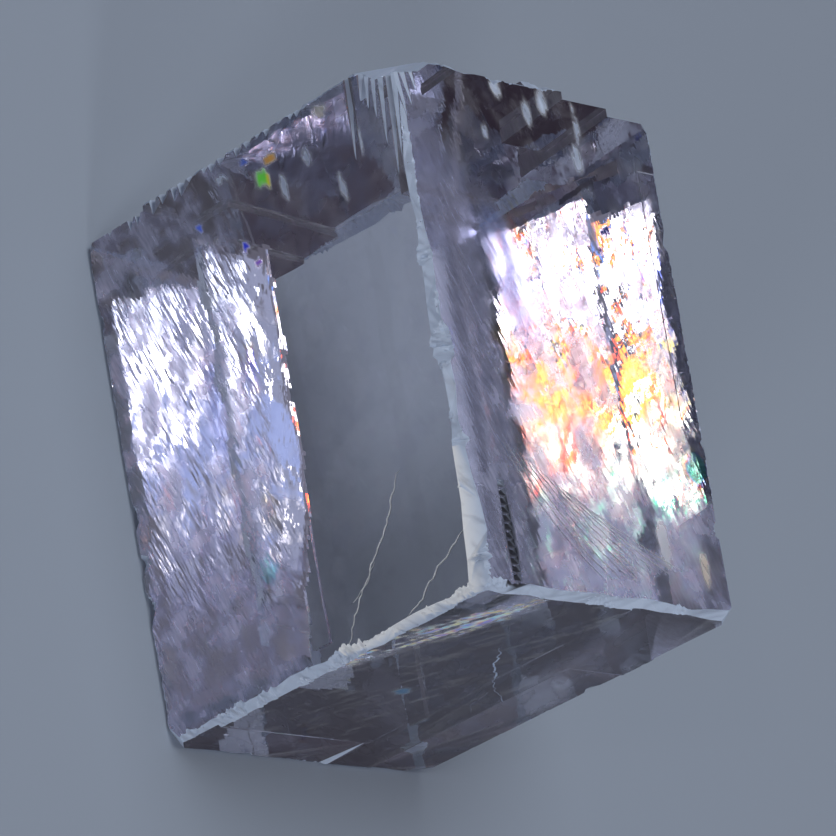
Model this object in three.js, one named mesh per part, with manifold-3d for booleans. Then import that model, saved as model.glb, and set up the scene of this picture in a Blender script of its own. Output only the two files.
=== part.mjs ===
// Calcite cleavage block: one clear, slightly lavender rhomb of Iceland spar.
// All six faces are cleavage planes. The block lies on one of its two middle-sized faces, with the
// broken end towards -X. Lengths are in millimetres, +Z is up, and the origin is the centre of the
// bounding box, at the height of the face that the block rests on.
//
// Places on the block are given along its own three edges: "along" runs from the broken end to the
// whole end, "across" from the front face to the back face, and "rise" from the bottom face to the
// top face. at() turns them into X, Y and Z.
import * as THREE from "three";
import { ConvexGeometry } from "three/addons/geometries/ConvexGeometry.js";
import { mergeVertices } from "three/addons/utils/BufferGeometryUtils.js";
import Module from "manifold-3d";

const wasm = await Module();
wasm.setup();

// ---------- Driving dimensions ----------
const LONG_EDGE = 32;
const SHORT_EDGE = 19;
const TALL_EDGE = 26.45;
const CLEAVAGE_ANGLE = 78.1;

const CLEAR = 1.5; // how far a cutter reaches past the surface it cuts
const FACET_LENGTH = 1.7; // length of one facet of a worn edge

// ---------- The block's own axes ----------
const lean = Math.cos(THREE.MathUtils.degToRad(CLEAVAGE_ANGLE));
const acrossY = Math.sqrt(1 - lean * lean);
const riseY = (lean + lean * lean) / acrossY;
const ALONG = new THREE.Vector3(1, 0, 0);
const ACROSS = new THREE.Vector3(lean, acrossY, 0);
const RISE = new THREE.Vector3(-lean, riseY, Math.sqrt(1 - lean * lean - riseY * riseY));

function at(along, across, rise) {
  return new THREE.Vector3()
    .addScaledVector(ALONG, along)
    .addScaledVector(ACROSS, across)
    .addScaledVector(RISE, rise);
}

// A repeatable irregular value from 0 to 1, one for each whole number.
function uneven(count) {
  const wave = Math.sin(count * 12.9898 + 4.1414) * 43758.5453;
  return wave - Math.floor(wave);
}

// ---------- Solids ----------
function solidFrom(geometry) {
  const bare = new THREE.BufferGeometry();
  bare.setAttribute("position", geometry.getAttribute("position").clone());
  if (geometry.index) {
    bare.setIndex(geometry.index.clone());
  }
  const merged = mergeVertices(bare, 1e-4);
  const mesh = new wasm.Mesh({
    numProp: 3,
    vertProperties: merged.attributes.position.array,
    triVerts: new Uint32Array(merged.index.array),
  });
  return new wasm.Manifold(mesh);
}

function hull(places) {
  return solidFrom(new ConvexGeometry(places.map((place) => at(...place))));
}

// A block bounded by cleavage planes, from one place to another.
function cleaved(from, to) {
  const places = [];
  for (const along of [from[0], to[0]]) {
    for (const across of [from[1], to[1]]) {
      for (const rise of [from[2], to[2]]) {
        places.push([along, across, rise]);
      }
    }
  }
  return hull(places);
}

function joined(solids) {
  return solids.reduce((whole, next) => whole.add(next));
}

function moved(place, ...steps) {
  const result = [...place];
  for (const [direction, distance] of steps) {
    direction.forEach((part, axis) => {
      result[axis] += part * distance;
    });
  }
  return result;
}

// ---------- Edges ----------
// An edge has its starting corner, the direction it runs in, its length, and the directions that
// lead from it into the block over its two faces.
const SIZES = [LONG_EDGE, SHORT_EDGE, TALL_EDGE];

function edge(runsAlong, firstEnd, secondEnd) {
  const others = [0, 1, 2].filter((axis) => axis !== runsAlong);
  const start = [0, 0, 0];
  const inward = [firstEnd, secondEnd].map((end, index) => {
    const axis = others[index];
    start[axis] = end === "low" ? 0 : SIZES[axis];
    const direction = [0, 0, 0];
    direction[axis] = end === "low" ? 1 : -1;
    return direction;
  });
  const direction = [0, 0, 0];
  direction[runsAlong] = 1;
  return { start, direction, length: SIZES[runsAlong], inward };
}

// Edges along the block: first across, then rise.
const FRONT_TOP = edge(0, "low", "high");
const FRONT_BOTTOM = edge(0, "low", "low");
const BACK_TOP = edge(0, "high", "high");
const BACK_BOTTOM = edge(0, "high", "low");
// Edges across the block: first along, then rise.
const BROKEN_TOP = edge(1, "low", "high");
const BROKEN_BOTTOM = edge(1, "low", "low");
const WHOLE_TOP = edge(1, "high", "high");
const WHOLE_BOTTOM = edge(1, "high", "low");
// Edges that rise: first along, then across.
const BROKEN_FRONT = edge(2, "low", "low");
const BROKEN_BACK = edge(2, "low", "high");
const WHOLE_FRONT = edge(2, "high", "low");
const WHOLE_BACK = edge(2, "high", "high");

// The worn strip along an edge, as a row of facets whose width changes from one to the next.
// widthAt gives the width at a distance from the edge's start.
function wornEdge(line, seed, widthAt) {
  const steps = Math.round((line.length + 2 * CLEAR) / FACET_LENGTH);
  const section = (index) => {
    const distance = -CLEAR + ((line.length + 2 * CLEAR) * index) / steps;
    const width = widthAt(THREE.MathUtils.clamp(distance, 0, line.length));
    const [first, second] = line.inward;
    const point = moved(line.start, [line.direction, distance]);
    return [
      moved(point, [first, -CLEAR], [second, -CLEAR]),
      moved(point, [first, width * (0.55 + 0.9 * uneven(seed + 2 * index))]),
      moved(point, [second, width * (0.55 + 0.9 * uneven(seed + 2 * index + 1))]),
    ];
  };
  const cuts = [];
  for (let index = 0; index < steps; index += 1) {
    cuts.push(hull([...section(index), ...section(index + 1)]));
  }
  return joined(cuts);
}

// A bite out of an edge: two facets that meet in a slanted valley.
function chip(line, distance, length, firstDepth, secondDepth, slant = 0) {
  const [first, second] = line.inward;
  const near = moved(line.start, [line.direction, distance - length / 2]);
  const far = moved(line.start, [line.direction, distance + length / 2]);
  const middle = moved(line.start, [line.direction, distance + slant * length]);
  const out = [
    [first, -CLEAR],
    [second, -CLEAR],
  ];
  return hull([
    near,
    far,
    moved(near, ...out),
    moved(far, ...out),
    moved(middle, [first, firstDepth]),
    moved(middle, [second, secondDepth]),
  ]);
}

// ---------- The broken end ----------
// Teeth along the front of the broken end, stepped terraces on the end itself, and the level break
// that took off its upper front corner.
const TEETH_FROM = 1.9;
const TEETH_TO = 19.6;
const TEETH_COUNT = 19;
const TOOTH_DEPTH = 1.15;

function brokenTeeth() {
  const cuts = [];
  const pitch = (TEETH_TO - TEETH_FROM) / TEETH_COUNT;
  for (let index = 0; index < TEETH_COUNT; index += 1) {
    const distance = TEETH_FROM + pitch * (index + 0.6 * uneven(index + 70));
    const fade = 1 - 0.6 * (index / TEETH_COUNT);
    const depth = TOOTH_DEPTH * fade * (0.45 + 0.75 * uneven(index + 80));
    const length = pitch * (0.7 + 0.5 * uneven(index + 90));
    cuts.push(chip(BROKEN_FRONT, distance, length, depth, 1.1 * depth, -0.22));
  }
  return joined(cuts);
}

function brokenTerraces() {
  const backRight = SHORT_EDGE + CLEAR;
  const overTop = TALL_EDGE + CLEAR;
  return joined([
    cleaved([-CLEAR, 12.6, 18.4], [0.8, backRight, overTop]),
    cleaved([-CLEAR, 15.9, 15.1], [1.3, backRight, overTop]),
    cleaved([-CLEAR, -CLEAR, -CLEAR], [0.45, 4.1, 5.2]),
    cleaved([-CLEAR, 6.4, -CLEAR], [0.35, backRight, 7.8]),
    cleaved([-CLEAR, 9.2, -CLEAR], [0.62, backRight, 4.6]),
    cleaved([-CLEAR, 4.8, 21.9], [0.4, 9.9, overTop]),
  ]);
}

function levelCorner() {
  const top = TALL_EDGE + CLEAR;
  return hull([
    [-CLEAR, -CLEAR, top],
    [1.55, -CLEAR, top],
    [1.1, -CLEAR, 23.2],
    [-CLEAR, -CLEAR, 20.9],
    [0.95, 3.4, top],
    [-CLEAR, 5.6, top],
    [-CLEAR, 1.4, 22.4],
  ]);
}

// ---------- The fluted chip ----------
// Columns side by side under the upper front corner, most of them on the front face and a few on the
// top face. Each is a thin sliver that sprang off along the block, so it is shallower towards its
// tip. One more stands apart, lower on the front face.
const FLUTE_WIDTH = 0.48;
const FLUTE_REACH = 8.4;
const FRONT_FLUTES = 6;
const TOP_FLUTES = 3;
const LONE_FLUTE_RISE = 22.95;
const LONE_FLUTE_REACH = 5.4;

// side is the direction from one column to the next, and inward leads into the block.
function flute(place, side, inward, reach, depth) {
  const places = [];
  for (const [beside, inside] of [
    [0, depth],
    [FLUTE_WIDTH, 0.55 * depth],
  ]) {
    const start = moved(place, [side, beside], [[1, 0, 0], -CLEAR]);
    const tip = moved(place, [side, beside], [[1, 0, 0], reach]);
    places.push(moved(start, [inward, -CLEAR]));
    places.push(moved(start, [inward, inside]));
    places.push(moved(tip, [inward, -CLEAR]));
    places.push(moved(tip, [inward, -0.02]));
  }
  return hull(places);
}

function fluteRow(count, seed, place, side, inward, longest) {
  const cuts = [];
  for (let index = 0; index < count; index += 1) {
    const shortening = 1 - index / (count + 1);
    const reach = longest * shortening * (0.75 + 0.4 * uneven(seed + index));
    const depth = 0.3 + 0.45 * uneven(seed + 12 + index);
    cuts.push(flute(moved(place, [side, FLUTE_WIDTH * index]), side, inward, reach, depth));
  }
  return joined(cuts);
}

function flutes() {
  const upperCorner = [0, 0, TALL_EDGE];
  const down = [0, 0, -1];
  const back = [0, 1, 0];
  return joined([
    fluteRow(FRONT_FLUTES, 31, upperCorner, down, back, FLUTE_REACH),
    fluteRow(TOP_FLUTES, 63, upperCorner, back, down, 0.62 * FLUTE_REACH),
    flute([0, 0, LONE_FLUTE_RISE], down, back, LONE_FLUTE_REACH, 0.5),
  ]);
}

// ---------- The ladder ----------
// A short stair of small cleavage steps in the top face, beside the front edge near the whole end.
const LADDER_FROM = 25.3;
const LADDER_TO = 31.4;
const LADDER_RUNGS = 12;
const LADDER_ACROSS = 2.35;
const LADDER_WIDTH = 0.62;
const LADDER_DEPTH = 0.42;

function ladder() {
  const cuts = [];
  const pitch = (LADDER_TO - LADDER_FROM) / LADDER_RUNGS;
  for (let index = 0; index < LADDER_RUNGS; index += 1) {
    const near = LADDER_FROM + pitch * index;
    const floor = TALL_EDGE - LADDER_DEPTH * (0.7 + 0.3 * uneven(index + 57));
    const width = LADDER_WIDTH * (0.75 + 0.25 * uneven(index + 61));
    cuts.push(
      hull([
        [near, LADDER_ACROSS, TALL_EDGE + CLEAR],
        [near + pitch, LADDER_ACROSS, TALL_EDGE + CLEAR],
        [near, LADDER_ACROSS + width, TALL_EDGE + CLEAR],
        [near + pitch, LADDER_ACROSS + width, TALL_EDGE + CLEAR],
        [near, LADDER_ACROSS, floor],
        [near, LADDER_ACROSS + width, floor],
        [near + 0.92 * pitch, LADDER_ACROSS, TALL_EDGE - 0.05],
        [near + 0.92 * pitch, LADDER_ACROSS + width, TALL_EDGE - 0.05],
      ]),
    );
  }
  return joined(cuts);
}

// ---------- Ledges ----------
// Low steps where a thin sheet split off a face. Each follows the cleavage.
function ledges() {
  const overEnd = LONG_EDGE + CLEAR;
  const overBack = SHORT_EDGE + CLEAR;
  const overTop = TALL_EDGE + CLEAR;
  return joined([
    // Whole end: two sheets gone beside the back, one thin one along the bottom.
    cleaved([LONG_EDGE - 0.1, 11.4, -CLEAR], [overEnd, overBack, overTop]),
    cleaved([LONG_EDGE - 0.2, 14.8, -CLEAR], [overEnd, overBack, 17.2]),
    cleaved([LONG_EDGE - 0.16, -CLEAR, -CLEAR], [overEnd, 11.4, 3.9]),
    // Back face: a narrow step along the bottom edge, and a small one high at the whole end.
    cleaved([-CLEAR, SHORT_EDGE - 0.34, -CLEAR], [23.5, overBack, 1.5]),
    cleaved([24.8, SHORT_EDGE - 0.26, 19.8], [overEnd, overBack, overTop]),
    // Top face: a thin sheet gone along the back edge.
    cleaved([4.4, 17.5, TALL_EDGE - 0.14], [19.8, overBack, overTop]),
  ]);
}

// ---------- Chips along the edges ----------
function edgeChips() {
  return joined([
    chip(FRONT_BOTTOM, 17.6, 2.3, 0.75, 0.6, 0.2),
    chip(FRONT_BOTTOM, 20.6, 1.6, 0.5, 0.85, -0.2),
    chip(FRONT_BOTTOM, 23.4, 2.6, 0.8, 0.7, 0.1),
    chip(FRONT_BOTTOM, 5.4, 1.9, 0.55, 0.4, -0.1),
    chip(FRONT_TOP, 17.4, 3.4, 0.95, 0.8, 0.2),
    chip(FRONT_TOP, 12.2, 2.2, 0.5, 0.7, -0.2),
    chip(FRONT_TOP, 23.2, 2.0, 0.7, 0.45, 0.1),
    chip(BACK_TOP, 26.4, 1.7, 0.55, 0.6, 0.25),
    chip(BACK_TOP, 21.2, 1.3, 0.4, 0.5, -0.1),
    chip(BACK_TOP, 8.3, 2.4, 0.5, 0.5, 0.2),
    chip(BACK_BOTTOM, 27.4, 3.0, 1.1, 0.9, 0.15),
    chip(BACK_BOTTOM, 12.2, 2.0, 0.6, 0.7, -0.25),
    chip(BROKEN_TOP, 7.4, 1.6, 0.7, 0.6, 0.2),
    chip(BROKEN_TOP, 11.6, 2.1, 0.5, 0.8, -0.2),
    chip(BROKEN_BOTTOM, 8.2, 2.6, 0.7, 0.8, 0.1),
    chip(BROKEN_BACK, 12.4, 2.4, 0.9, 0.6, 0.2),
    chip(WHOLE_TOP, 8.6, 1.5, 0.35, 0.4, 0.15),
    chip(WHOLE_TOP, 14.2, 1.2, 0.4, 0.35, -0.2),
    chip(WHOLE_FRONT, 21.8, 1.9, 0.4, 0.55, 0.1),
    chip(WHOLE_FRONT, 9.4, 2.7, 0.6, 0.5, -0.2),
    chip(WHOLE_BOTTOM, 5.2, 2.2, 0.6, 0.6, 0.2),
    chip(WHOLE_BACK, 14.8, 2.1, 0.7, 0.6, -0.1),
  ]);
}

// ---------- Broken corners ----------
// A corner is cut off by the plane through three places, one on each of its edges.
function cornerCut(endAlong, endAcross, endRise, reach) {
  const corner = [endAlong, endAcross, endRise];
  const inward = corner.map((place) => (place === 0 ? 1 : -1));
  const beyond = corner.map((place, axis) => place - inward[axis] * CLEAR);
  const places = [beyond];
  for (const axis of [0, 1, 2]) {
    const tip = [...corner];
    tip[axis] += inward[axis] * reach[axis];
    places.push(tip);
    const outside = [...beyond];
    outside[axis] = tip[axis];
    places.push(outside);
  }
  return hull(places);
}

function brokenCorners() {
  return joined([
    cornerCut(0, 0, 0, [1.2, 1.3, 0.9]),
    cornerCut(LONG_EDGE, SHORT_EDGE, TALL_EDGE, [1.0, 1.3, 1.4]),
    cornerCut(LONG_EDGE, 0, TALL_EDGE, [1.2, 1.0, 0.9]),
    cornerCut(LONG_EDGE, 0, 0, [1.6, 1.2, 1.3]),
    cornerCut(LONG_EDGE, SHORT_EDGE, 0, [1.4, 1.8, 1.2]),
    cornerCut(0, SHORT_EDGE, 0, [1.7, 1.2, 2.1]),
    cornerCut(0, SHORT_EDGE, TALL_EDGE, [2.1, 1.4, 1.6]),
  ]);
}

// ---------- Worn edges ----------
const even = (width) => () => width;
// The front edge is bruised: its strip swells in the middle and again towards the whole end.
const bruised = (distance) => {
  const middle = Math.exp(-(((distance - 17.2) / 2.2) ** 2));
  const end = THREE.MathUtils.smoothstep(distance, 22, 31);
  return 0.36 + 0.22 * middle + 0.5 * end;
};

function wornEdges() {
  return joined([
    wornEdge(FRONT_TOP, 100, bruised),
    wornEdge(FRONT_BOTTOM, 150, even(0.24)),
    wornEdge(BACK_TOP, 200, even(0.16)),
    wornEdge(BACK_BOTTOM, 250, even(0.34)),
    wornEdge(BROKEN_TOP, 300, even(0.4)),
    wornEdge(BROKEN_BOTTOM, 350, even(0.5)),
    wornEdge(BROKEN_FRONT, 500, even(0.15)),
    wornEdge(BROKEN_BACK, 550, even(0.5)),
    wornEdge(WHOLE_TOP, 400, even(0.46)),
    wornEdge(WHOLE_BOTTOM, 450, even(0.3)),
    wornEdge(WHOLE_FRONT, 600, even(0.5)),
    wornEdge(WHOLE_BACK, 650, even(0.16)),
  ]);
}

// ---------- The block ----------
function crystal() {
  const whole = cleaved([0, 0, 0], SIZES);
  const gone = joined([
    wornEdges(),
    brokenCorners(),
    levelCorner(),
    brokenTeeth(),
    brokenTerraces(),
    flutes(),
    ladder(),
    ledges(),
    edgeChips(),
  ]);
  const mesh = whole.subtract(gone).getMesh();
  const geometry = new THREE.BufferGeometry();
  geometry.setAttribute("position", new THREE.BufferAttribute(mesh.vertProperties, mesh.numProp));
  geometry.setIndex(new THREE.BufferAttribute(mesh.triVerts, 1));
  geometry.computeBoundingBox();
  const centre = geometry.boundingBox.getCenter(new THREE.Vector3());
  geometry.translate(-centre.x, -centre.y, -geometry.boundingBox.min.z);
  geometry.computeVertexNormals();
  return geometry;
}

// ---------- Material ----------
function clearCalcite() {
  return new THREE.MeshStandardMaterial({
    color: 0xd9d3ea,
    roughness: 0.12,
    metalness: 0,
    transparent: true,
    opacity: 0.55,
    flatShading: true,
  });
}

const block = new THREE.Mesh(crystal(), clearCalcite());
block.name = "calcite_block";

const part = new THREE.Group();
part.add(block);

export default part;
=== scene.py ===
import math

import bmesh
import bpy
import numpy as np
from mathutils import Matrix, Vector, noise


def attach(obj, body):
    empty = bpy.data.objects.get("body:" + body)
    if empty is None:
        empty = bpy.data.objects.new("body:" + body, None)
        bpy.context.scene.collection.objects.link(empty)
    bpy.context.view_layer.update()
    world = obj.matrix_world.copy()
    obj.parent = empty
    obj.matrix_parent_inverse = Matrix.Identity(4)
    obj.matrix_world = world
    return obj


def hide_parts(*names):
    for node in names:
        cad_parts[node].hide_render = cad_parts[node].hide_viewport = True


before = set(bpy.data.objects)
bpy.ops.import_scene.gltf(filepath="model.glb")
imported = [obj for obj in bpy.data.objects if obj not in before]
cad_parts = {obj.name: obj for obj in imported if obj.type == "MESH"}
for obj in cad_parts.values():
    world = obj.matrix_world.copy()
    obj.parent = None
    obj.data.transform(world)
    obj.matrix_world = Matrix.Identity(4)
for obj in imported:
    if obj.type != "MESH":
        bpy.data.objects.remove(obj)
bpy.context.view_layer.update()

# ---------------------------------------------------------------------------------------------------
# The rhomb. A piece of Iceland spar that was split along its three cleavages, so its faces meet at
# 78 and 102 degrees. A place on it is given along its own edges: along runs from the broken end to
# the whole end, across from the front face to the back face, rise from the bottom to the top.
# ---------------------------------------------------------------------------------------------------
MM = 0.001
CLEAVAGE_ANGLE = 78.1
edge_lengths = np.array([32.0, 19.0, 26.45]) * MM
lean = math.cos(math.radians(CLEAVAGE_ANGLE))
across_y = math.sqrt(1 - lean**2)
rise_y = (lean + lean**2) / across_y
rhomb_axes = np.array([
    [1.0, 0.0, 0.0],
    [lean, across_y, 0.0],
    [-lean, rise_y, math.sqrt(1 - lean**2 - rise_y**2)],
])
face_normals = np.array([np.cross(rhomb_axes[i - 2], rhomb_axes[i - 1]) for i in range(3)])
face_normals /= np.linalg.norm(face_normals, axis=1)[:, None]

rough_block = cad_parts["calcite_block"]
cad_points = np.array([vertex.co for vertex in rough_block.data.vertices])
face_reach = (cad_points @ face_normals.T).max(axis=0)
whole_reach = edge_lengths * np.einsum("ij,ij->i", rhomb_axes, face_normals)
rhomb_corner = np.linalg.solve(face_normals, face_reach - whole_reach)

ALONG, ACROSS, RISE = 0, 1, 2
sizes_mm = edge_lengths / MM
long_mm, deep_mm, tall_mm = sizes_mm

# ---------------------------------------------------------------------------------------------------
# The block's body. It starts as the rough block of the frame, with its ledges, teeth and flutes, and
# then takes the fine wear of the real stone: every cutter below is taken away from it in turn.
# ---------------------------------------------------------------------------------------------------
WELD = 0.001 * MM

body = bpy.data.objects.new("calcite_crystal", rough_block.data.copy())
bpy.context.scene.collection.objects.link(body)
body.data.materials.clear()
welded = bmesh.new()
welded.from_mesh(body.data)
bmesh.ops.remove_doubles(welded, verts=welded.verts, dist=WELD)
bmesh.ops.dissolve_degenerate(welded, edges=welded.edges, dist=WELD)
welded.to_mesh(body.data)
welded.free()


def closed_mesh(name, points, faces):
    mesh = bpy.data.meshes.new(name)
    mesh.from_pydata([tuple(point) for point in points], [], faces)
    shell = bmesh.new()
    shell.from_mesh(mesh)
    bmesh.ops.recalc_face_normals(shell, faces=shell.faces)
    shell.to_mesh(mesh)
    shell.free()
    return mesh


def take_away(name, points, faces):
    cutter = bpy.data.objects.new(name, closed_mesh(name, points, faces))
    bpy.context.scene.collection.objects.link(cutter)
    cut = body.modifiers.new(name, "BOOLEAN")
    cut.operation = "DIFFERENCE"
    cut.solver = "MANIFOLD"
    cut.object = cutter
    depsgraph = bpy.context.evaluated_depsgraph_get()
    result = bpy.data.meshes.new_from_object(body.evaluated_get(depsgraph), depsgraph=depsgraph)
    body.modifiers.remove(cut)
    old = body.data
    body.data = result
    bpy.data.meshes.remove(old)
    bpy.data.objects.remove(cutter)


# ---------------------------------------------------------------------------------------------------
# Split faces. A cleavage looks flat but has shallow waves, and fine striations where the split ran.
# Each face but the broken end is skimmed with a slab whose inner side has that relief.
# ---------------------------------------------------------------------------------------------------
OUTSIDE = 1.2  # how far a cutter reaches past the stone, in millimetres
LEAST_CUT = 0.002
RIPPLED_BELOW = 13.5  # the front face is clear and smooth above this rise
RIPPLE_FADE = 2.0


def ragged(x, y, z, detail=4):
    """Uneven values around zero, about one wave per unit."""
    return noise.fractal(Vector((x, y, z)), 0.9, 2.1, detail)


def streaked(first, second, turn, length, width, seed, detail=3):
    """Uneven values drawn out in one direction on a face."""
    cosine, sine = math.cos(math.radians(turn)), math.sin(math.radians(turn))
    run = (first * cosine + second * sine) / length
    aside = (second * cosine - first * sine) / width
    return ragged(run, aside, seed, detail)


def place(local):
    """Places in millimetres along, across and rise, as points of the frame."""
    return rhomb_corner + (np.asarray(local, float) * MM) @ rhomb_axes


def other_ways(axis):
    """The two directions beside this one, in order."""
    return [way for way in (ALONG, ACROSS, RISE) if way != axis]


def spot_at(axis, level, first, second):
    """A place at a level along one direction, and at first and second along the other two."""
    spot = [0.0, 0.0, 0.0]
    spot[axis] = level
    one, two = other_ways(axis)
    spot[one] = first
    spot[two] = second
    return spot


def under(axis, end, depth):
    """The level that lies this deep under the stone's low or high side."""
    return depth if end == "low" else sizes_mm[axis] - depth


def skim_face(name, axis, end, pitch, depth_at):
    """depth_at gives how deep the slab cuts at a place on the face, in millimetres."""
    one, two = other_ways(axis)
    firsts = np.arange(-OUTSIDE, sizes_mm[one] + OUTSIDE + pitch, pitch)
    seconds = np.arange(-OUTSIDE, sizes_mm[two] + OUTSIDE + pitch, pitch)
    points = []
    for first in firsts:
        for second in seconds:
            depth = max(depth_at(first, second), LEAST_CUT)
            points.append(spot_at(axis, under(axis, end, depth), first, second))
    count, wide = len(firsts), len(seconds)
    faces = []
    for row in range(count - 1):
        for column in range(wide - 1):
            near = row * wide + column
            faces.append([near, near + 1, near + wide + 1, near + wide])
    rim = list(range(wide))
    rim += [row * wide + wide - 1 for row in range(1, count)]
    rim += [(count - 1) * wide + column for column in range(wide - 2, -1, -1)]
    rim += [row * wide for row in range(count - 2, 0, -1)]
    start = len(points)
    for corner in rim:
        point = list(points[corner])
        point[axis] = under(axis, end, -OUTSIDE)
        points.append(point)
    for i, corner in enumerate(rim):
        after = (i + 1) % len(rim)
        faces.append([corner, rim[after], start + after, start + i])
    faces.append(list(range(start, start + len(rim))))
    take_away(name, place(points), faces)


# Each relief adds up depths in millimetres. A streaked one has its turn, length and width after its
# place, and the last two numbers of each are its seed and its detail.
def top_relief(first, second):
    waves = 0.014 * (1 + ragged(first / 5, second / 5, 2.5, 2))
    sweeps = 0.004 * (1 + streaked(first, second, 19, 8, 0.9, 3.5, 2))
    hair = 0.002 * (1 + streaked(first, second, 21, 3, 0.35, 5.5, 2))
    return waves + sweeps + hair


def front_relief(first, second):
    low = min(max((RIPPLED_BELOW - second) / RIPPLE_FADE, 0), 1)
    waves = 0.018 * (1 + ragged(first / 5, second / 5, 12.5, 2))
    sweeps = 0.008 * (1 + streaked(first, second, 27, 5, 1.2, 13.5, 2)) * low
    hair = 0.002 * (1 + streaked(first, second, 32, 2.5, 0.5, 15.5, 2)) * low
    return waves + sweeps + hair


def mirror_relief(seed):
    """The relief of the three faces that shine back what comes in through the top and the front."""
    def relief(first, second):
        waves = 0.009 * (1 + ragged(first / 6, second / 6, seed, 2))
        sweeps = 0.003 * (1 + streaked(first, second, 6, 9, 1.2, seed + 1, 2))
        return waves + sweeps

    return relief


skim_face("top_relief", RISE, "high", 0.2, top_relief)
skim_face("front_relief", ACROSS, "low", 0.25, front_relief)
skim_face("back_relief", ACROSS, "high", 0.35, mirror_relief(21.5))
skim_face("bottom_relief", RISE, "low", 0.35, mirror_relief(25.5))
skim_face("end_relief", ALONG, "high", 0.22, mirror_relief(29.5))

# ---------------------------------------------------------------------------------------------------
# Worn edges. Each edge has been bruised into a narrow frosted strip with small stair-like bites. It
# is cut with a long prism whose inner side is rough.
# ---------------------------------------------------------------------------------------------------
STRIP_PITCH = 0.09
STRIP_COLUMNS = 9
PAST_FACES = 0.4  # how far the prism's inner side runs on past both faces, as a share of its width
LEAST_WIDTH = 0.05
STAIR = 0.4


def stepped(value, step):
    """Calcite breaks in little stairs, so part of each slope is levelled into steps."""
    return 0.45 * value + 0.55 * step * round(value / step)


def wear_edge(name, runs, ends, width_at, seed, bites=()):
    """ends says for each of the other two directions if the edge is at its low or high side. Each
    bite is its place along the edge, its length, and its depth over the first and second face."""
    one, two = other_ways(runs)
    length = sizes_mm[runs]
    stations = np.arange(-OUTSIDE, length + OUTSIDE + STRIP_PITCH, STRIP_PITCH)
    points = []
    for distance in stations:
        widths = []
        for side in (0, 1):
            wave = ragged(distance * 0.55, seed + 7.3 * side, 0.5)
            fine = ragged(distance * 3.1, seed + 3.7 * side, 4.5, 2)
            width = width_at(min(max(distance, 0), length)) * (1 + 0.6 * wave + 0.3 * fine)
            for middle, reach, *depths in bites:
                slope = 1 - abs(distance - middle) / (reach / 2)
                width = max(width, depths[side] * 1.12 * max(slope, 0) ** 0.7 * (1 + 0.25 * fine))
            widths.append(max(width, LEAST_WIDTH))
        for column in range(STRIP_COLUMNS):
            share = -PAST_FACES + (1 + 2 * PAST_FACES) * column / (STRIP_COLUMNS - 1)
            grit = ragged(distance * 4.0, share * 2.3 + seed, 9.1, 3)
            deep = 0.2 * min(widths) * stepped(grit, STAIR)
            first = under(one, ends[0], widths[0] * (1 - share) + deep)
            second = under(two, ends[1], widths[1] * share + deep)
            points.append(spot_at(runs, distance, first, second))
        outer = [under(way, end, -OUTSIDE) for way, end in zip((one, two), ends)]
        points.append(spot_at(runs, distance, *outer))
    ring = STRIP_COLUMNS + 1
    faces = [list(range(ring)), list(range(ring * (len(stations) - 1), ring * len(stations)))]
    for station in range(len(stations) - 1):
        for column in range(ring):
            near = station * ring + column
            far = station * ring + (column + 1) % ring
            faces.append([near, far, far + ring, near + ring])
    take_away(name, place(points), faces)


def even(width):
    return lambda distance: width


def bruised(distance):
    """The width of the front top edge's strip, which is most knocked in its middle and at its end."""
    middle = math.exp(-(((distance - 17.2) / 2.2) ** 2))
    end = min(max((distance - 22) / 9, 0), 1)
    return 0.32 + 0.2 * middle + 0.4 * end**2


front_top_bites = [(17.4, 3.4, 0.95, 0.8), (12.2, 2.2, 0.5, 0.7), (23.2, 2.0, 0.7, 0.45)]
front_bottom_bites = [
    (17.6, 2.3, 0.75, 0.6),
    (20.6, 1.6, 0.5, 0.85),
    (23.4, 2.6, 0.8, 0.7),
    (5.4, 1.9, 0.55, 0.4),
]
wear_edge("front_top_wear", ALONG, ("low", "high"), bruised, 11.0, front_top_bites)
wear_edge("front_bottom_wear", ALONG, ("low", "low"), even(0.26), 23.0, front_bottom_bites)
wear_edge("back_top_wear", ALONG, ("high", "high"), even(0.2), 31.0, [(26.4, 1.7, 0.55, 0.6)])
wear_edge("back_bottom_wear", ALONG, ("high", "low"), even(0.34), 47.0, [(27.4, 3.0, 1.1, 0.9)])
wear_edge("broken_top_wear", ACROSS, ("low", "high"), even(0.42), 53.0, [(7.4, 1.6, 0.7, 0.6)])
wear_edge("broken_bottom_wear", ACROSS, ("low", "low"), even(0.5), 61.0)
wear_edge("whole_top_wear", ACROSS, ("high", "high"), even(0.46), 71.0)
wear_edge("whole_bottom_wear", ACROSS, ("high", "low"), even(0.3), 83.0)
wear_edge("broken_front_wear", RISE, ("low", "low"), even(0.2), 97.0)
wear_edge("broken_back_wear", RISE, ("low", "high"), even(0.5), 101.0)
wear_edge("whole_front_wear", RISE, ("high", "low"), even(0.5), 113.0)
wear_edge("whole_back_wear", RISE, ("high", "high"), even(0.2), 127.0)

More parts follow.
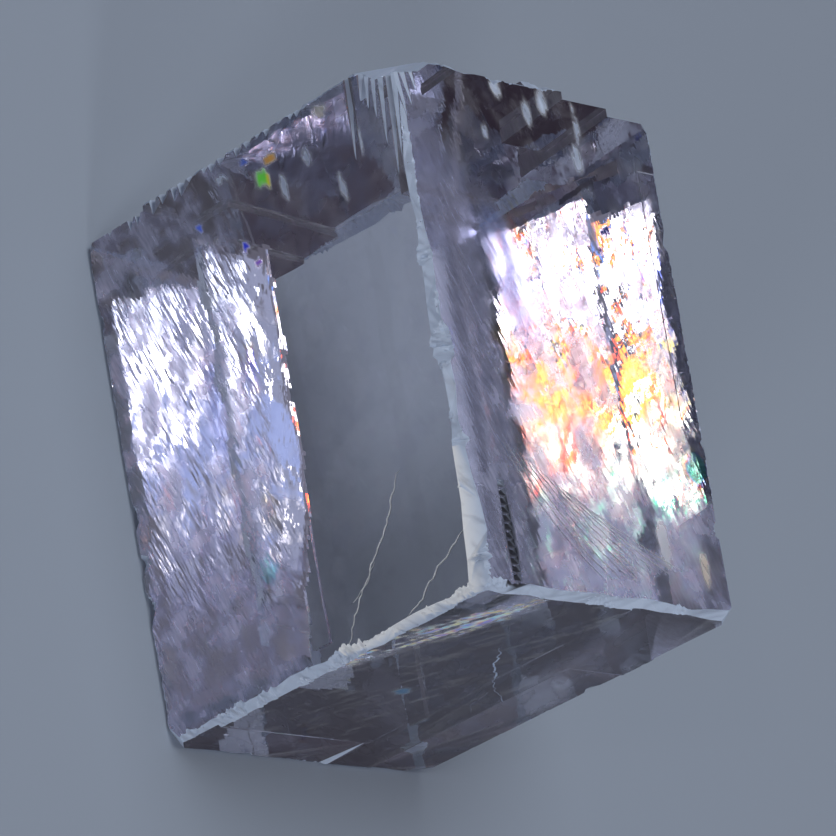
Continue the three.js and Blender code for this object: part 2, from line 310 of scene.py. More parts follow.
# ---------------------------------------------------------------------------------------------------
# Inner split. A level cleavage that opened inside the stone and never came through: one thin gap of
# air, which mirrors what comes down through the top. It thins out towards its ragged rim.
# ---------------------------------------------------------------------------------------------------
SPLIT_LEVEL = 8.2
SPLIT_GAP = 0.03
SPLIT_RIM_GAP = 0.004
SPLIT_TAPER = 0.8  # the gap has its full width this far inside its rim
SPLIT_WAVES = 0.006
SPLIT_PITCH = 0.3
split_outline = np.array([
    (3.2, 0.7),
    (2.9, 3.4),
    (3.3, 5.5),
    (2.6, 6.8),
    (2.4, 9.6),
    (8.0, 9.9),
    (12.0, 9.5),
    (15.2, 9.9),
    (17.0, 9.4),
    (19.5, 9.2),
    (21.5, 8.4),
    (25.0, 7.3),
    (28.6, 6.6),
    (29.2, 3.4),
    (28.4, 0.8),
    (25.0, 1.2),
    (22.0, 0.6),
    (19.6, 1.0),
    (17.0, 0.5),
    (14.4, 1.1),
    (12.0, 0.5),
    (9.4, 1.2),
    (7.0, 0.5),
])
outline_next = np.roll(split_outline, -1, axis=0)
outline_sides = outline_next - split_outline


def margin_inside(spot):
    """How far a spot lies inside the split's outline, and -1 outside it."""
    crosses = (split_outline[:, 1] > spot[1]) != (outline_next[:, 1] > spot[1])
    climb = np.where(outline_sides[:, 1] == 0, 1e-9, outline_sides[:, 1])
    reach = split_outline[:, 0] + outline_sides[:, 0] * (spot[1] - split_outline[:, 1]) / climb
    if (crosses & (reach > spot[0])).sum() % 2 == 0:
        return -1
    share = ((spot - split_outline) * outline_sides).sum(axis=1) / (outline_sides**2).sum(axis=1)
    nearest = split_outline + np.clip(share, 0, 1)[:, None] * outline_sides
    return np.linalg.norm(spot - nearest, axis=1).min()


split_from = split_outline.min(axis=0) - SPLIT_PITCH
split_to = split_outline.max(axis=0) + 2 * SPLIT_PITCH
numbers = {}
split_points = []
for i, first in enumerate(np.arange(split_from[0], split_to[0], SPLIT_PITCH)):
    for j, second in enumerate(np.arange(split_from[1], split_to[1], SPLIT_PITCH)):
        wobble = 0.3 * ragged(first * 0.7, second * 0.7, 7.5, 3)
        margin = margin_inside(np.array([first + wobble, second - wobble]))
        if margin < 0:
            continue
        level = SPLIT_LEVEL + SPLIT_WAVES * ragged(first / 3, second / 3, 9.5, 3)
        thick = SPLIT_GAP * min(margin / SPLIT_TAPER, 1) ** 0.5 + SPLIT_RIM_GAP
        numbers[i, j] = len(split_points)
        split_points.append(spot_at(RISE, level - thick / 2, first, second))
        split_points.append(spot_at(RISE, level + thick / 2, first, second))
split_faces = []
edges_seen = {}
for i, j in numbers:
    corners = [(i, j), (i + 1, j), (i + 1, j + 1), (i, j + 1)]
    if all(corner in numbers for corner in corners):
        ring = [numbers[corner] for corner in corners]
        split_faces.append(ring)
        split_faces.append([number + 1 for number in reversed(ring)])
        edges_seen.update(dict.fromkeys(zip(ring, ring[1:] + ring[:1])))
for near, far in edges_seen:
    if (far, near) not in edges_seen:
        split_faces.append([far, near, near + 1, far + 1])
gap_mesh = closed_mesh("gap", place(split_points), split_faces)
gap_mesh.flip_normals()

# ---------------------------------------------------------------------------------------------------
# Scratches and surface cracks. Hair-thin grooves with ragged sides, which fill with white.
# ---------------------------------------------------------------------------------------------------
GROOVE_PITCH = 0.25
GROOVE_PROUD = 0.4  # how far the cutter of a groove stands out of the face
GROOVE_SINK = 0.07  # the faces are skimmed already, so a groove goes this much deeper


def groove(axis, end, stops, width, depth, seed, wander=0.06):
    """A V groove on a face through stops, places on its two directions."""
    stops = np.array(stops, float)
    lengths = np.linalg.norm(np.diff(stops, axis=0), axis=1)
    travelled = np.concatenate([[0], np.cumsum(lengths)])
    steps = max(int(travelled[-1] / GROOVE_PITCH), 2)
    distances = np.linspace(0, travelled[-1], steps + 1)
    centre = np.stack([np.interp(distances, travelled, stops[:, k]) for k in (0, 1)], axis=1)
    heading = np.gradient(centre, axis=0)
    heading /= np.linalg.norm(heading, axis=1)[:, None]
    aside = np.stack([-heading[:, 1], heading[:, 0]], axis=1)
    points = []
    for i, distance in enumerate(distances):
        taper = min(1, 6 * min(i, steps - i) / steps + 0.15)
        drift = wander * ragged(distance * 1.7, seed, 0.7, 3)
        half = 0.5 * width * taper * (1 + 0.5 * ragged(distance * 3, seed, 5.1, 2))
        bottom = depth * taper + GROOVE_SINK
        mouth = half * (1 + GROOVE_PROUD / bottom)
        for sideways, sunk in ((-mouth, -GROOVE_PROUD), (mouth, -GROOVE_PROUD), (0, bottom)):
            first, second = centre[i] + aside[i] * (sideways + drift)
            points.append(spot_at(axis, under(axis, end, sunk), first, second))
    faces = [[0, 1, 2], [3 * steps, 3 * steps + 1, 3 * steps + 2]]
    for i in range(steps):
        for k in range(3):
            near = 3 * i + k
            after = 3 * i + (k + 1) % 3
            faces.append([near, after, after + 3, near + 3])
    take_away("groove", place(points), faces)


# A fan of curved scratches on the top side, near the whole end.
FAN_SCRATCHES = 11
FAN_STEPS = 8
for i in range(FAN_SCRATCHES):
    start = Vector((22.6 + 0.35 * i, 3.0 + 0.55 * i))
    bend = Vector((27.2 + 0.1 * i, 5.2 + 0.72 * i))
    finish = Vector((30.6 - 0.12 * i, 9.2 + 0.62 * i))
    stops = []
    for k in range(FAN_STEPS + 1):
        share = k / FAN_STEPS
        stops.append((1 - share) ** 2 * start + 2 * share * (1 - share) * bend + share**2 * finish)
    groove(RISE, "high", stops, 0.035 + 0.02 * (i % 3), 0.03, 201 + i)

# The cracks near the low corner of the front side, and a forked one across the whole end.
long_crack = [(23.2, 21.6), (25.4, 20.2), (26.4, 19.5), (28.4, 17.6), (31.6, 15.3)]
corner_crack = [(28.4, 25.8), (29.6, 23.4), (30.9, 21.6), (31.5, 20.3)]
end_crack = [(8.0, 19.0), (9.5, 16.8), (12.6, 13.4), (15.2, 11.4), (18.4, 9.7)]
groove(ACROSS, "low", long_crack, 0.1, 0.06, 221, 0.2)
groove(ACROSS, "low", [(27.5, 18.6), (28.6, 17.6), (29.2, 16.2)], 0.06, 0.04, 223, 0.15)
groove(ACROSS, "low", corner_crack, 0.09, 0.05, 227, 0.2)
groove(ALONG, "high", end_crack, 0.12, 0.06, 229, 0.2)
groove(ALONG, "high", [(12.6, 13.4), (13.2, 10.8), (14.6, 9.2)], 0.06, 0.04, 231, 0.15)

# ---------------------------------------------------------------------------------------------------
# Faces and breaks. A face of the mesh that lies nearly along a cleavage belongs to that side of the
# rhomb, and shines. Everything else is a break, and is frosted. Each point keeps its place.
# ---------------------------------------------------------------------------------------------------
BREAK, LEVEL, UPRIGHT, END, SPLIT = range(5)
FLAT_ENOUGH = 0.985  # cosine of the most that a shining face leans from its cleavage
TOP_RELIEF = 0.2
FRONT_RELIEF = 0.6
FRONT_STREAKY_BELOW = 11.0
FRONT_SMOOTH_ABOVE = 14.0

stone = bmesh.new()
stone.from_mesh(body.data)
for face in stone.faces:
    face.material_index = BREAK
outer_faces = len(stone.faces)
stone.from_mesh(gap_mesh)
stone.faces.ensure_lookup_table()
for face in stone.faces[outer_faces:]:
    face.material_index = SPLIT
bpy.data.meshes.remove(gap_mesh)
bmesh.ops.delete(stone, geom=[point for point in stone.verts if not point.link_faces], context="VERTS")
bmesh.ops.triangulate(stone, faces=[face for face in stone.faces if len(face.verts) > 4])
stone.normal_update()
directions = np.array([face.normal for face in stone.faces]) @ face_normals.T
for face, turned in zip(stone.faces, directions):
    if face.material_index == SPLIT:
        continue
    closest = int(np.abs(turned).argmax())
    if abs(turned[closest]) > FLAT_ENOUGH:
        face.material_index = {RISE: LEVEL, ACROSS: UPRIGHT, ALONG: END}[closest]
    face.smooth = face.material_index != BREAK
for edge in stone.edges:
    sides = {face.material_index for face in edge.link_faces}
    edge.smooth = len(sides) == 1 and BREAK not in sides
kinds = np.array([face.material_index for face in stone.faces])
for face in stone.faces:
    face.material_index = 0
stone.to_mesh(body.data)
stone.free()


def local_of(points):
    """Points of the frame, as places in millimetres along, across and rise."""
    return (np.asarray(points) - rhomb_corner) @ np.linalg.inv(rhomb_axes) / MM


def keep(name, values):
    """Values for each corner of each face, for the material to read."""
    values = np.asarray(values, np.float32)
    kind, slot = ("FLOAT_COLOR", "color") if values.shape[1] == 4 else ("FLOAT_VECTOR", "vector")
    body.data.attributes.new(name, kind, "CORNER").data.foreach_set(slot, values.ravel())


def on_sides(points, kinds_here):
    """Two directions that lie in each side: along and across, along and rise, or across and rise."""
    on_break = 0.8 * points[:, ACROSS] * (kinds_here == BREAK)
    first_way = np.where(kinds_here == END, points[:, ACROSS], points[:, ALONG] + on_break)
    second_way = np.where(kinds_here == LEVEL, points[:, ACROSS], points[:, RISE])
    return first_way, second_way


def eased(values, start, end):
    """0 at start and 1 at end, with a soft change between them."""
    share = np.clip((values - start) / (end - start), 0, 1)
    return share * share * (3 - 2 * share)


def on_top(points, kinds_here):
    return (kinds_here == LEVEL) & (points[:, RISE] > tall_mm / 2)


def on_front(points, kinds_here):
    return (kinds_here == UPRIGHT) & (points[:, ACROSS] < deep_mm / 2)


positions = np.zeros(len(body.data.vertices) * 3)
body.data.vertices.foreach_get("co", positions)
spots = local_of(positions.reshape(-1, 3))
corner_points = np.zeros(len(body.data.loops), int)
body.data.loops.foreach_get("vertex_index", corner_points)
corner_counts = np.zeros(len(body.data.polygons), int)
body.data.polygons.foreach_get("loop_total", corner_counts)
corner_spots = spots[corner_points]
corner_kinds = np.repeat(kinds, corner_counts)
point_kinds = np.zeros(len(spots), int)
for kind in (BREAK, SPLIT, END, UPRIGHT, LEVEL):
    point_kinds[corner_points[corner_kinds == kind]] = kind

# The fine relief is strongest on the front face, below its smooth part.
low_front = eased(corner_spots[:, RISE], FRONT_SMOOTH_ABOVE, FRONT_STREAKY_BELOW)
low_front = on_front(corner_spots, corner_kinds) * low_front
relief = TOP_RELIEF * on_top(corner_spots, corner_kinds) + FRONT_RELIEF * low_front
keep("place", np.stack([*on_sides(corner_spots, corner_kinds), relief], axis=1))

# ---------------------------------------------------------------------------------------------------
# Haze. Tiny cracks just under the surface scatter light. They are sparse over most of each side, and
# thick on the lower front, beside the front edge of the top, and on the top's half at the whole end.
# ---------------------------------------------------------------------------------------------------
CLOUD_SIZE = 1.6
STREAK_TURN = 22
FRONT_CLEAR_ABOVE = 13.6
SPARSE_HAZE = 0.07
STRIP_HAZE = 0.24
# The other two have a least haze, and how much more there is where the clouds are thickest.
FRONT_HAZE, FRONT_CLOUDS = 0.08, 0.3
CORNER_HAZE, CORNER_CLOUDS = 0.1, 0.25

first_way, second_way = on_sides(spots, point_kinds)
ways = list(zip(first_way, second_way))
clouds = np.array([ragged(one / CLOUD_SIZE, two / CLOUD_SIZE, 0.5, 4) for one, two in ways])
streaks = np.array([streaked(one, two, STREAK_TURN, 1.6, 0.35, 7.7, 3) for one, two in ways])
drift = 0.9 * streaks + 0.5 * clouds
sides_of_points = {
    "top": on_top(spots, point_kinds),
    "front": on_front(spots, point_kinds),
    "end": (point_kinds == END) & (spots[:, ALONG] > long_mm / 2),
}

haze = SPARSE_HAZE * eased(clouds, 0.05, 0.5) * ~sides_of_points["end"]
front_level = spots[:, RISE] + 1.5 * clouds + 0.5 * streaks
low_part = sides_of_points["front"] * eased(front_level, FRONT_CLEAR_ABOVE, FRONT_STREAKY_BELOW)
haze = np.maximum(haze, low_part * (FRONT_HAZE + FRONT_CLOUDS * eased(clouds, -0.3, 0.45)))
edge_strip = sides_of_points["top"] * eased(spots[:, ACROSS] + 0.5 * clouds, 4.6, 3.6)
edge_strip = edge_strip * eased(spots[:, ALONG], 3, 8)
haze = np.maximum(haze, STRIP_HAZE * edge_strip)
corner_way = spots[:, ALONG] - 0.5 * spots[:, ACROSS] + 2 * drift
corner_part = sides_of_points["top"] * eased(corner_way, 14.0, 18.0)
haze = np.maximum(haze, corner_part * (CORNER_HAZE + CORNER_CLOUDS * eased(clouds, -0.3, 0.4)))

# ---------------------------------------------------------------------------------------------------
# Colours of thin splits, and painted fire. Where one lies flat under the surface it shows yellow, red,
# blue and green, in that order as it opens. On the top, the warm, red, blue and green patches also
# paint in the fire of white light that the stone splits: painted coloured light, fixed on the surface.
# The clear stone between is white, and its haze is lavender.
# ---------------------------------------------------------------------------------------------------
LAVENDER = (0.72, 0.74, 0.98)
# How far a gap is open, and its colour. The warm patches use the same scale for painted fire.
SPLIT_AND_PAINTED_FIRE_COLOURS = (
    (0.16, (1.0, 0.99, 1.0)),
    (0.30, (1.0, 0.88, 0.45)),
    (0.42, (0.98, 0.55, 0.18)),
    (0.52, (0.9, 0.25, 0.12)),
    (0.59, (0.6, 0.25, 0.6)),
    (0.66, (0.10, 0.15, 0.95)),
    (0.74, (0.1, 0.6, 0.95)),
    (0.84, (0.08, 0.8, 0.15)),
    (0.96, (0.8, 1.0, 0.3)),
)
FIERY_OPENING = 0.32
BLUE_OPENING = 0.66
GREEN_OPENING = 0.8


def mark(side, at, reach, turn=0.0, rim=0.4, loose=1.0):
    """1 inside an oval on one side of the stone, and 0 outside it, drawn out by the streaks."""
    cosine, sine = math.cos(math.radians(turn)), math.sin(math.radians(turn))
    one = first_way + loose * drift - at[0]
    two = second_way + 0.4 * loose * drift - at[1]
    far = np.hypot((one * cosine + two * sine) / reach[0], (two * cosine - one * sine) / reach[1])
    return sides_of_points[side] * eased(far, 1 + rim, 1 - rim)


warm = mark("top", (20.5, 5.6), (5.0, 2.2), 12, 0.5)
ember = mark("top", (10.6, 7.4), (2.4, 1.2), 0, 0.5)
far_rim = mark("top", (17.6, 17.4), (3.2, 0.8), -10, 0.5)
leaf = mark("top", (22.8, 18.0), (1.0, 1.0), 0, 0.3, 0.4)
blue_streak = mark("top", (10.2, 16.4), (1.8, 0.3), 5, 0.4, 0.3)
# Painted fire: the warm patches paint coloured light, split from white, into the top's colour.
fiery = np.maximum(np.maximum(warm, ember), far_rim)
opening = fiery * (FIERY_OPENING + 0.5 * streaks + 0.25 * clouds)
opening = opening + BLUE_OPENING * blue_streak + GREEN_OPENING * leaf
openings, shades = zip(*SPLIT_AND_PAINTED_FIRE_COLOURS)
colour = np.stack([np.interp(opening, openings, channel) for channel in zip(*shades)], axis=1)
hazy = eased(haze, 0.02, 0.2)[:, None]
colour = colour * (1 - hazy) + np.array(LAVENDER) * hazy

# ---------------------------------------------------------------------------------------------------
# Bright spots and painted glints. Small bruises and flat cracks, frosted by their haze, whose colour
# paints in the glinting light that they catch, and the dark bed of the notched slot, which is painted
# shade. Each has its side, its middle, half lengths and turn there, its colour, and how thick its haze
# is.
# ---------------------------------------------------------------------------------------------------
PALE_BLUE = (0.72, 0.82, 1.0)
# Painted shade for the slot's bed.
SLOT_BED_PAINTED_SHADE = (0.03, 0.035, 0.06)
spots_with_painted_light = [
    ("front", (2.7, 15.0), (0.5, 0.5), 0, (0.2, 1.0, 0.08), 1.0),
    ("front", (3.1, 15.5), (0.3, 0.22), 0, (1.0, 0.9, 0.05), 1.0),
    ("front", (1.9, 15.9), (0.3, 0.5), 0, (1.0, 0.5, 0.08), 0.8),
    ("front", (3.4, 9.5), (0.28, 0.28), 0, (0.1, 0.2, 1.0), 0.95),
    ("front", (6.0, 12.9), (0.32, 0.3), 0, (0.02, 0.05, 1.0), 0.95),
    ("front", (7.3, 13.7), (0.25, 0.25), 0, (0.4, 0.12, 1.0), 0.95),
    ("front", (1.2, 13.8), (0.3, 0.3), 0, (0.1, 0.2, 0.9), 0.6),
    ("front", (3.4, 22.85), (1.4, 0.24), 4, PALE_BLUE, 0.85),
    ("front", (3.1, 18.8), (0.5, 0.3), 20, PALE_BLUE, 0.5),
    ("front", (4.0, 16.7), (0.85, 0.3), 12, PALE_BLUE, 0.6),
    ("front", (6.0, 21.2), (0.85, 0.2), 10, PALE_BLUE, 0.7),
    ("front", (1.5, 11.9), (0.3, 0.5), 0, PALE_BLUE, 0.6),
    ("front", (1.0, 20.3), (0.4, 0.6), 0, (0.9, 0.88, 0.7), 0.35),
    ("top", (12.0, 5.9), (4.2, 1.5), 12, (0.5, 0.6, 1.0), 0.2),
    ("top", (28.6, 2.65), (3.3, 0.42), 0, SLOT_BED_PAINTED_SHADE, 0.8),
    ("top", (0.9, 7.5), (0.6, 0.3), 0, PALE_BLUE, 0.8),
    ("top", (2.1, 9.6), (0.8, 0.25), 0, PALE_BLUE, 0.6),
    ("top", (1.3, 10.9), (0.7, 0.35), 0, PALE_BLUE, 0.8),
    ("top", (3.8, 6.1), (0.5, 0.22), 0, PALE_BLUE, 0.5),
    ("top", (2.4, 13.3), (1.3, 0.14), 0, PALE_BLUE, 0.6),
    ("top", (4.5, 12.9), (0.8, 0.35), 0, PALE_BLUE, 0.55),
    ("top", (27.8, 14.3), (1.4, 0.5), 0, (0.9, 0.93, 1.0), 0.6),
    ("top", (29.0, 17.2), (1.2, 0.35), 0, (1.0, 0.9, 0.75), 0.5),
    ("end", (7.2, 11.7), (0.6, 0.5), 0, (0.3, 0.6, 1.0), 1.0),
]
# Each spot paints its colour into the surface: glinting light for most of them, shade for the slot's
# bed.
for side, at, reach, turn, shade, thick in spots_with_painted_light:
    amount = mark(side, at, reach, turn, 0.35, 0.3)[:, None]
    colour = colour * (1 - amount) + np.array(shade) * amount
    haze = np.maximum(haze, thick * amount[:, 0])

# ---------------------------------------------------------------------------------------------------
# The whole end. A strip beside its front edge is full of flat cracks, and the way they glint in all
# colours is painted into its colour: painted highlights. The rest is painted darker, a painted shade,
# with a few thin fibres.
# ---------------------------------------------------------------------------------------------------
FIBRE_TURN = 66
FIBRE_HAZE = 0.25
END_PAINTED_SHADE = 0.65

rainbow_strip = mark("end", (2.3, 19.6), (8.0, 1.3), FIBRE_TURN, 0.5, 0.8)
end_fibres = np.array([streaked(one, two, FIBRE_TURN, 2.5, 0.3, 17.7, 3) for one, two in ways])
painted_glint_amount = rainbow_strip * eased(end_fibres + 0.3 * streaks, -0.3, 0.35)
painted_glint_phase = 7 * clouds + 5 * end_fibres
painted_glint_colour = [0.85 + 0.5 * np.sin(painted_glint_phase + shift) for shift in (0.0, 0.9, 2.2)]
painted_glint_colour = np.stack(painted_glint_colour, axis=1)
# Painted highlights: the strip's glinting colours go into the surface colour.
colour = colour * (1 - painted_glint_amount[:, None]) + np.clip(painted_glint_colour, 0, 1) * painted_glint_amount[:, None]
haze = np.maximum(haze, painted_glint_amount)
# Painted shade: the rest of the end is made darker.
colour *= 1 - END_PAINTED_SHADE * (sides_of_points["end"] * (1 - rainbow_strip))[:, None]
haze = np.maximum(haze, FIBRE_HAZE * sides_of_points["end"] * eased(end_fibres, 0.2, 0.5))

# ---------------------------------------------------------------------------------------------------
# Breaks. Bruised edges and chips are frosted blue-white, and scratches and cracks are white. The low
# walls of the broken end's ledges and the notched slot beside the front edge are painted dark: painted
# shade.
# ---------------------------------------------------------------------------------------------------
FROST = (0.58, 0.67, 0.83)
WHITE_CRACK = (1.0, 1.0, 1.0, 1.0)
SLOT_WALL_PAINTED_SHADE = (0.03, 0.03, 0.04, 0.95)
LEDGE_PAINTED_SHADE = (0.2, 0.17, 0.21, 0.7)
FRONT_PAINTED_SHADOW = 0.75


def within(values, low, high):
    return (values > low) & (values < high)


frost_haze = 0.8 + 0.25 * eased(streaks, -0.3, 0.3)
corner_tone = np.concatenate([colour, haze[:, None]], axis=1)[corner_points]
along_here, across_here, rise_here = corner_spots.T
on_break = corner_kinds == BREAK
corner_tone[on_break, :3] = FROST
corner_tone[on_break, 3] = frost_haze[corner_points][on_break]
on_slot = on_break & within(along_here, 25.4, 31.7) & within(across_here, 1.85, 3.35)
on_slot &= rise_here > 25
# Painted shade in the notched slot.
corner_tone[on_slot] = SLOT_WALL_PAINTED_SHADE
on_scratch = on_break & within(along_here, 21.7, 31.3) & within(across_here, 3.6, 17.5)
on_scratch &= rise_here > 26.0
on_crack = on_break & (along_here > 22.5) & (across_here < 0.4) & within(rise_here, 14.7, 25.9)
corner_tone[on_scratch | on_crack] = WHITE_CRACK
on_ledge = (corner_kinds == LEVEL) & within(rise_here, 0.4, 26.0)
on_ledge |= (corner_kinds == UPRIGHT) & within(across_here, 0.4, 18.6)
on_ledge &= along_here < 6
# Painted shade on the ledges' low walls.
corner_tone[on_ledge] = LEDGE_PAINTED_SHADE

# The clear part of the front face is painted darker towards the whole end: a painted shadow, the
# stone's shadow on the floor as seen through it.
front_painted_shadow = on_front(corner_spots, corner_kinds) * eased(along_here, 18, 29) * eased(rise_here, 12.5, 18)
corner_tone[:, :3] *= 1 - FRONT_PAINTED_SHADOW * front_painted_shadow[:, None]
keep("tone", corner_tone)

# ---------------------------------------------------------------------------------------------------
# Clear calcite. See-through and faintly lavender, with a high index. The whole stone is this one
# material: the tone's alpha is its haze, which fine streaks break up, and its colour tints both.
# ---------------------------------------------------------------------------------------------------
RIPPLE_HEIGHT = 0.02  # millimetres

calcite = bpy.data.materials.new("clear_calcite")
calcite.use_nodes = True
tree = calcite.node_tree
shader = tree.nodes["Principled BSDF"]
shader.inputs["IOR"].default_value = 1.6
body_tint = tree.nodes.new("ShaderNodeVolumeAbsorption")
body_tint.inputs["Color"].default_value = (0.86, 0.82, 1.0, 1.0)
body_tint.inputs["Density"].default_value = 12.0
tree.links.new(body_tint.outputs[0], tree.nodes["Material Output"].inputs["Volume"])
body.data.materials.clear()
body.data.materials.append(calcite)


def wire(source, socket):
    if isinstance(source, bpy.types.NodeSocket):
        tree.links.new(source, socket)
    else:
        socket.default_value = source


def kept(name):
    node = tree.nodes.new("ShaderNodeAttribute")
    node.attribute_name = name
    return node.outputs


def combine(operation, *values):
    node = tree.nodes.new("ShaderNodeMath")
    node.operation = operation
    for value, socket in zip(values, node.inputs):
        wire(value, socket)
    return node.outputs[0]


def grain(at, size, turn, stretch, detail):
    """Uneven values from 0 to 1 on a side, size millimetres wide and drawn out at an angle."""
    turned = tree.nodes.new("ShaderNodeMapping")
    turned.vector_type = "TEXTURE"
    wire(at, turned.inputs["Vector"])
    turned.inputs["Rotation"].default_value[2] = math.radians(turn)
    turned.inputs["Scale"].default_value = (size * stretch, size, 1)
    node = tree.nodes.new("ShaderNodeTexNoise")
    node.noise_dimensions = "2D"
    wire(turned.outputs[0], node.inputs["Vector"])
    node.inputs["Scale"].default_value = 1.0
    node.inputs["Detail"].default_value = detail
    return node.outputs["Fac"]


place_here = kept("place")["Vector"]
tone = kept("tone")
fine_streaks = grain(place_here, 0.25, STREAK_TURN, 6, 1.0)
fine_haze = combine("MULTIPLY", tone["Alpha"], combine("MULTIPLY_ADD", fine_streaks, 1.0, 0.5))
wire(tone["Color"], shader.inputs["Base Color"])
wire(combine("SUBTRACT", 1.0, fine_haze), shader.inputs["Transmission Weight"])
wire(combine("MULTIPLY", fine_haze, 0.6), shader.inputs["Roughness"])

# Fine relief, as a height in millimetres. The place's third value says how strong it is there.
apart = tree.nodes.new("ShaderNodeSeparateXYZ")
wire(place_here, apart.inputs[0])
ripple_height = combine("MULTIPLY", apart.outputs[2], RIPPLE_HEIGHT)
bump = tree.nodes.new("ShaderNodeBump")
bump.inputs["Distance"].default_value = MM
ripples = grain(place_here, 0.3, STREAK_TURN, 5, 1.0)
wire(combine("MULTIPLY", ripple_height, ripples), bump.inputs["Height"])
wire(bump.outputs[0], shader.inputs["Normal"])

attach(body, "root")
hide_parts("calcite_block")

# ---------------------------------------------------------------------------------------------------
# The floor. Plain pale card, a hair below the stone so that the two don't share a surface.
# ---------------------------------------------------------------------------------------------------
FLOOR_REACH = 3.0
FLOOR_GAP = 0.04 * MM

floor_mesh = bpy.data.meshes.new("studio_floor")
floor_corners = [(x * FLOOR_REACH, y * FLOOR_REACH, 0) for x, y in ((-1, -1), (1, -1), (1, 1), (-1, 1))]
floor_mesh.from_pydata(floor_corners, [], [[0, 1, 2, 3]])
floor = bpy.data.objects.new("studio_floor", floor_mesh)
floor.location.z = -FLOOR_GAP
bpy.context.scene.collection.objects.link(floor)
pale = bpy.data.materials.new("pale_floor")
pale.use_nodes = True
card = pale.node_tree.nodes["Principled BSDF"]
card.inputs["Base Color"].default_value = (0.39, 0.44, 0.52, 1)
card.inputs["Roughness"].default_value = 0.8
floor_mesh.materials.append(pale)

# ---------------------------------------------------------------------------------------------------
# The camera. It stands far off with a long lens, looks down on the stone, and is turned so that the
# broken end is uppermost.
# ---------------------------------------------------------------------------------------------------
FRAME_PIXELS = 836
FOCAL_PIXELS = 4583.8

camera_data = bpy.data.cameras.new("camera")
camera_data.sensor_width = 36
camera_data.lens = camera_data.sensor_width * FOCAL_PIXELS / FRAME_PIXELS
camera = bpy.data.objects.new("camera", camera_data)
bpy.context.scene.collection.objects.link(camera)
camera_spot = Vector((44.92, -155.92, 233.97)) * MM + Vector(rhomb_corner)
look = Vector((-0.1077, 0.6044, -0.7893))
up = Vector((-0.9793, 0.0724, 0.189))
right = look.cross(up)
camera.matrix_world = Matrix.Translation(camera_spot) @ Matrix((right, up, -look)).transposed().to_4x4()
bpy.context.scene.camera = camera

# ---------------------------------------------------------------------------------------------------
# The lights. What the stone mirrors is a cluster of oval lamps beside the camera, one for each patch
# of colour, because the real stone splits white light at the rims of what it mirrors. Soft panels
# light its breaks and the floor.
# ---------------------------------------------------------------------------------------------------
BEAM = (-0.11, -0.60, 0.79)
LAMP_DISTANCE = 0.6
LAMP_STEP = 1.0 * MM  # each lamp stands this much further off than the last, so none hides another
middle = Vector((0, 0, 0.0125))


def lamp(name, toward, distance, size, brightness, colour, aside=(0, 0)):
    """An oval lamp. aside moves it in its own plane, and brightness is how bright its face looks."""
    data = bpy.data.lights.new(name, "AREA")
    data.shape = "ELLIPSE"
    data.size, data.size_y = size
    data.energy = brightness * math.pi**2 * size[0] * size[1] / 4
    data.color = colour
    thing = bpy.data.objects.new(name, data)
    bpy.context.scene.collection.objects.link(thing)
    toward = Vector(toward).normalized()
    side = Vector((0, 0, 1)).cross(toward).normalized()
    high = toward.cross(side)
    spot = middle + toward * distance + side * aside[0] + high * aside[1]
    thing.matrix_world = Matrix.Translation(spot) @ Matrix((side, high, toward)).transposed().to_4x4()


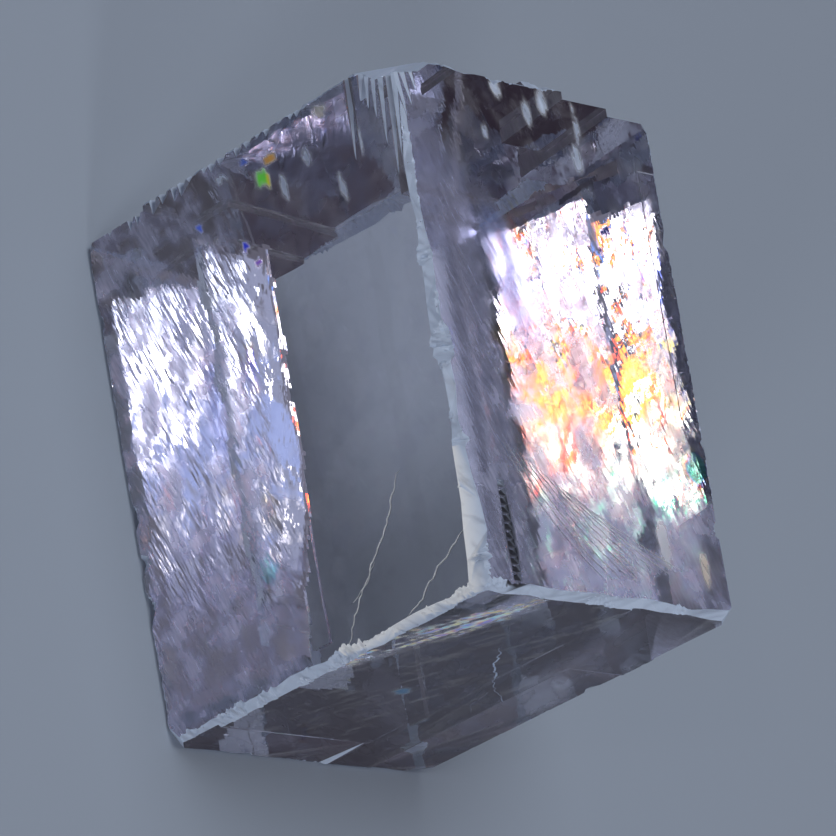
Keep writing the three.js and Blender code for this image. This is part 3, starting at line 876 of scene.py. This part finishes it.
# Each lamp's size in millimetres, brightness, colour, and place in the cluster in millimetres.
stone_lamps = [
    ("core_lamp", (34, 26), 9.0, (1.0, 0.98, 1.0), (-21, -50)),
    ("halo_lamp", (12, 44), 3.0, (1.0, 0.98, 1.0), (-14, -30)),
    ("corner_lamp", (14, 22), 7.0, (1.0, 0.99, 0.75), (19, -40)),
    ("fire_lamp", (26, 10), 4.0, (1.0, 0.07, 0.01), (5, -16)),
    ("amber_lamp", (24, 12), 5.0, (1.0, 0.2, 0.01), (5, -27)),
    ("gold_lamp", (14, 8), 4.0, (1.0, 0.42, 0.02), (6, -37)),
    ("ember_lamp", (14, 10), 3.2, (1.0, 0.28, 0.02), (-26, -29)),
    ("lemon_lamp", (9, 18), 3.0, (1.0, 0.9, 0.2), (6, -50)),
    ("leaf_lamp", (8, 12), 3.6, (0.02, 1.0, 0.3), (29, -42)),
    ("sky_lamp", (28, 8), 1.2, (0.15, 0.35, 1.0), (-26, -16)),
    ("blue_lamp", (34, 6), 2.8, (0.1, 0.2, 1.0), (-4, -66)),
    ("side_lamp", (14, 20), 9.0, (1.0, 0.98, 1.0), (-21, 38)),
    ("fan_lamp", (18, 18), 3.0, (0.88, 0.94, 1.0), (-37, 36)),
    ("glint_lamp", (8, 8), 2.0, (1.0, 0.95, 0.9), (8, 30)),
    ("mist_lamp", (22, 24), 0.35, (0.25, 0.42, 1.0), (-7, 28)),
    ("lavender_lamp", (85, 50), 0.36, (0.58, 0.68, 1.0), (-18, 30)),
    ("dusk_lamp", (44, 70), 0.27, (0.66, 0.76, 1.0), (44, -36)),
    ("violet_lamp", (110, 90), 0.09, (0.68, 0.74, 1.0), (0, -35)),
]
for number, (name, size, brightness, shade, aside) in enumerate(stone_lamps):
    size = [side * MM for side in size]
    aside = [way * MM for way in aside]
    lamp(name, BEAM, LAMP_DISTANCE + LAMP_STEP * number, size, brightness, shade, aside)
# The panels' sizes and distances are in metres.
lamp("wide_panel", BEAM, 0.63, (0.34, 0.34), 0.10, (0.78, 0.82, 1.0))
lamp("low_panel", (0.55, -0.75, 0.35), 0.8, (0.2, 0.2), 8.0, (0.9, 0.95, 1.0))
lamp("end_panel", (0.95, -0.2, 0.25), 0.7, (0.12, 0.12), 32.0, (0.9, 0.95, 1.0))
lamp("soft_panel", (-0.35, 0.1, 0.93), 0.9, (0.55, 0.55), 5.2, (0.88, 0.94, 1.0))

# The room is almost dark, and shows in the stone's darkest sides.
world = bpy.data.worlds.new("studio")
world.use_nodes = True
dim_room = world.node_tree.nodes["Background"]
dim_room.inputs["Color"].default_value = (0.040, 0.032, 0.044, 1)
dim_room.inputs["Strength"].default_value = 1.0
bpy.context.scene.world = world
bpy.context.scene.view_settings.view_transform = "Standard"

# Light is followed far enough to cross the stone several times.
STONE_BOUNCES = 12
light_paths = bpy.context.scene.cycles
light_paths.use_denoising = True
light_paths.max_bounces = STONE_BOUNCES
light_paths.transmission_bounces = STONE_BOUNCES
light_paths.glossy_bounces = STONE_BOUNCES
light_paths.diffuse_bounces = 2
